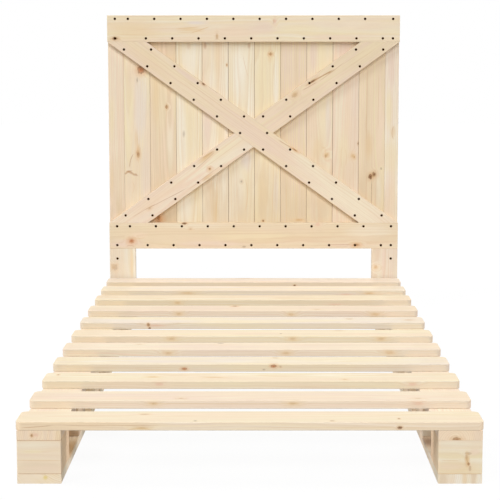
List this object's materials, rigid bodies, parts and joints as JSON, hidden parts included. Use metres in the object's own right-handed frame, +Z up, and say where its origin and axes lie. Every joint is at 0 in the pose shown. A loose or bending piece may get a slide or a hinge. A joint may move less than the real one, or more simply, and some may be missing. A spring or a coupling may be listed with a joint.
{
  "type": "bed frame",
  "caption": "Low pallet style bed frame in bare pine: open slatted deck on side runners of boards and blocks, with a plank headboard braced by a cross and screwed together.",
  "frame": {"origin": "on the floor, at the centre of the footprint", "axes": "+Z up, +Y from the foot end towards the headboard, +X towards the right side seen from the foot end"},
  "size_m": [1.006, 2.04, 1.04],
  "materials": {
    "slat_pine": "planed, unfinished",
    "runner_pine": "planed, unfinished",
    "block_pine": "planed, unfinished",
    "plank_pine": "planed, unfinished",
    "rail_pine": "planed, unfinished",
    "leg_pine": "planed, unfinished",
    "brace_pine": "planed, unfinished",
    "black_screw": "black, satin"
  },
  "bodies": {
    "root": {"slat_01": "slat_pine", "slat_02": "slat_pine", "slat_03": "slat_pine", "slat_04": "slat_pine", "slat_05": "slat_pine", "slat_06": "slat_pine", "slat_07": "slat_pine", "slat_08": "slat_pine", "slat_09": "slat_pine", "slat_10": "slat_pine", "slat_11": "slat_pine", "top_board_foot_left": "runner_pine", "bottom_board_foot_left": "runner_pine", "top_board_head_left": "runner_pine", "bottom_board_head_left": "runner_pine", "top_board_foot_right": "runner_pine", "bottom_board_foot_right": "runner_pine", "top_board_head_right": "runner_pine", "bottom_board_head_right": "runner_pine", "block_left_1": "block_pine", "block_left_2": "block_pine", "block_left_3": "block_pine", "block_left_4": "block_pine", "block_left_5": "block_pine", "block_left_6": "block_pine", "block_left_7": "block_pine", "block_right_1": "block_pine", "block_right_2": "block_pine", "block_right_3": "block_pine", "block_right_4": "block_pine", "block_right_5": "block_pine", "block_right_6": "block_pine", "block_right_7": "block_pine", "edge_plank_left": "plank_pine", "plank_01": "plank_pine", "plank_02": "plank_pine", "plank_03": "plank_pine", "plank_04": "plank_pine", "plank_05": "plank_pine", "plank_06": "plank_pine", "plank_07": "plank_pine", "plank_08": "plank_pine", "plank_09": "plank_pine", "plank_10": "plank_pine", "edge_plank_right": "plank_pine", "top_rail": "rail_pine", "bottom_rail": "rail_pine", "leg_board_left": "leg_pine", "leg_board_right": "leg_pine", "brace_full": "brace_pine", "brace_upper_half": "brace_pine", "brace_lower_half": "brace_pine", "rail_screws": "black_screw", "brace_screws": "black_screw", "leg_screws": "black_screw", "slat_screws": "black_screw", "block_screws": "black_screw", "headboard_screws": "black_screw"}
  },
  "joints": []
}
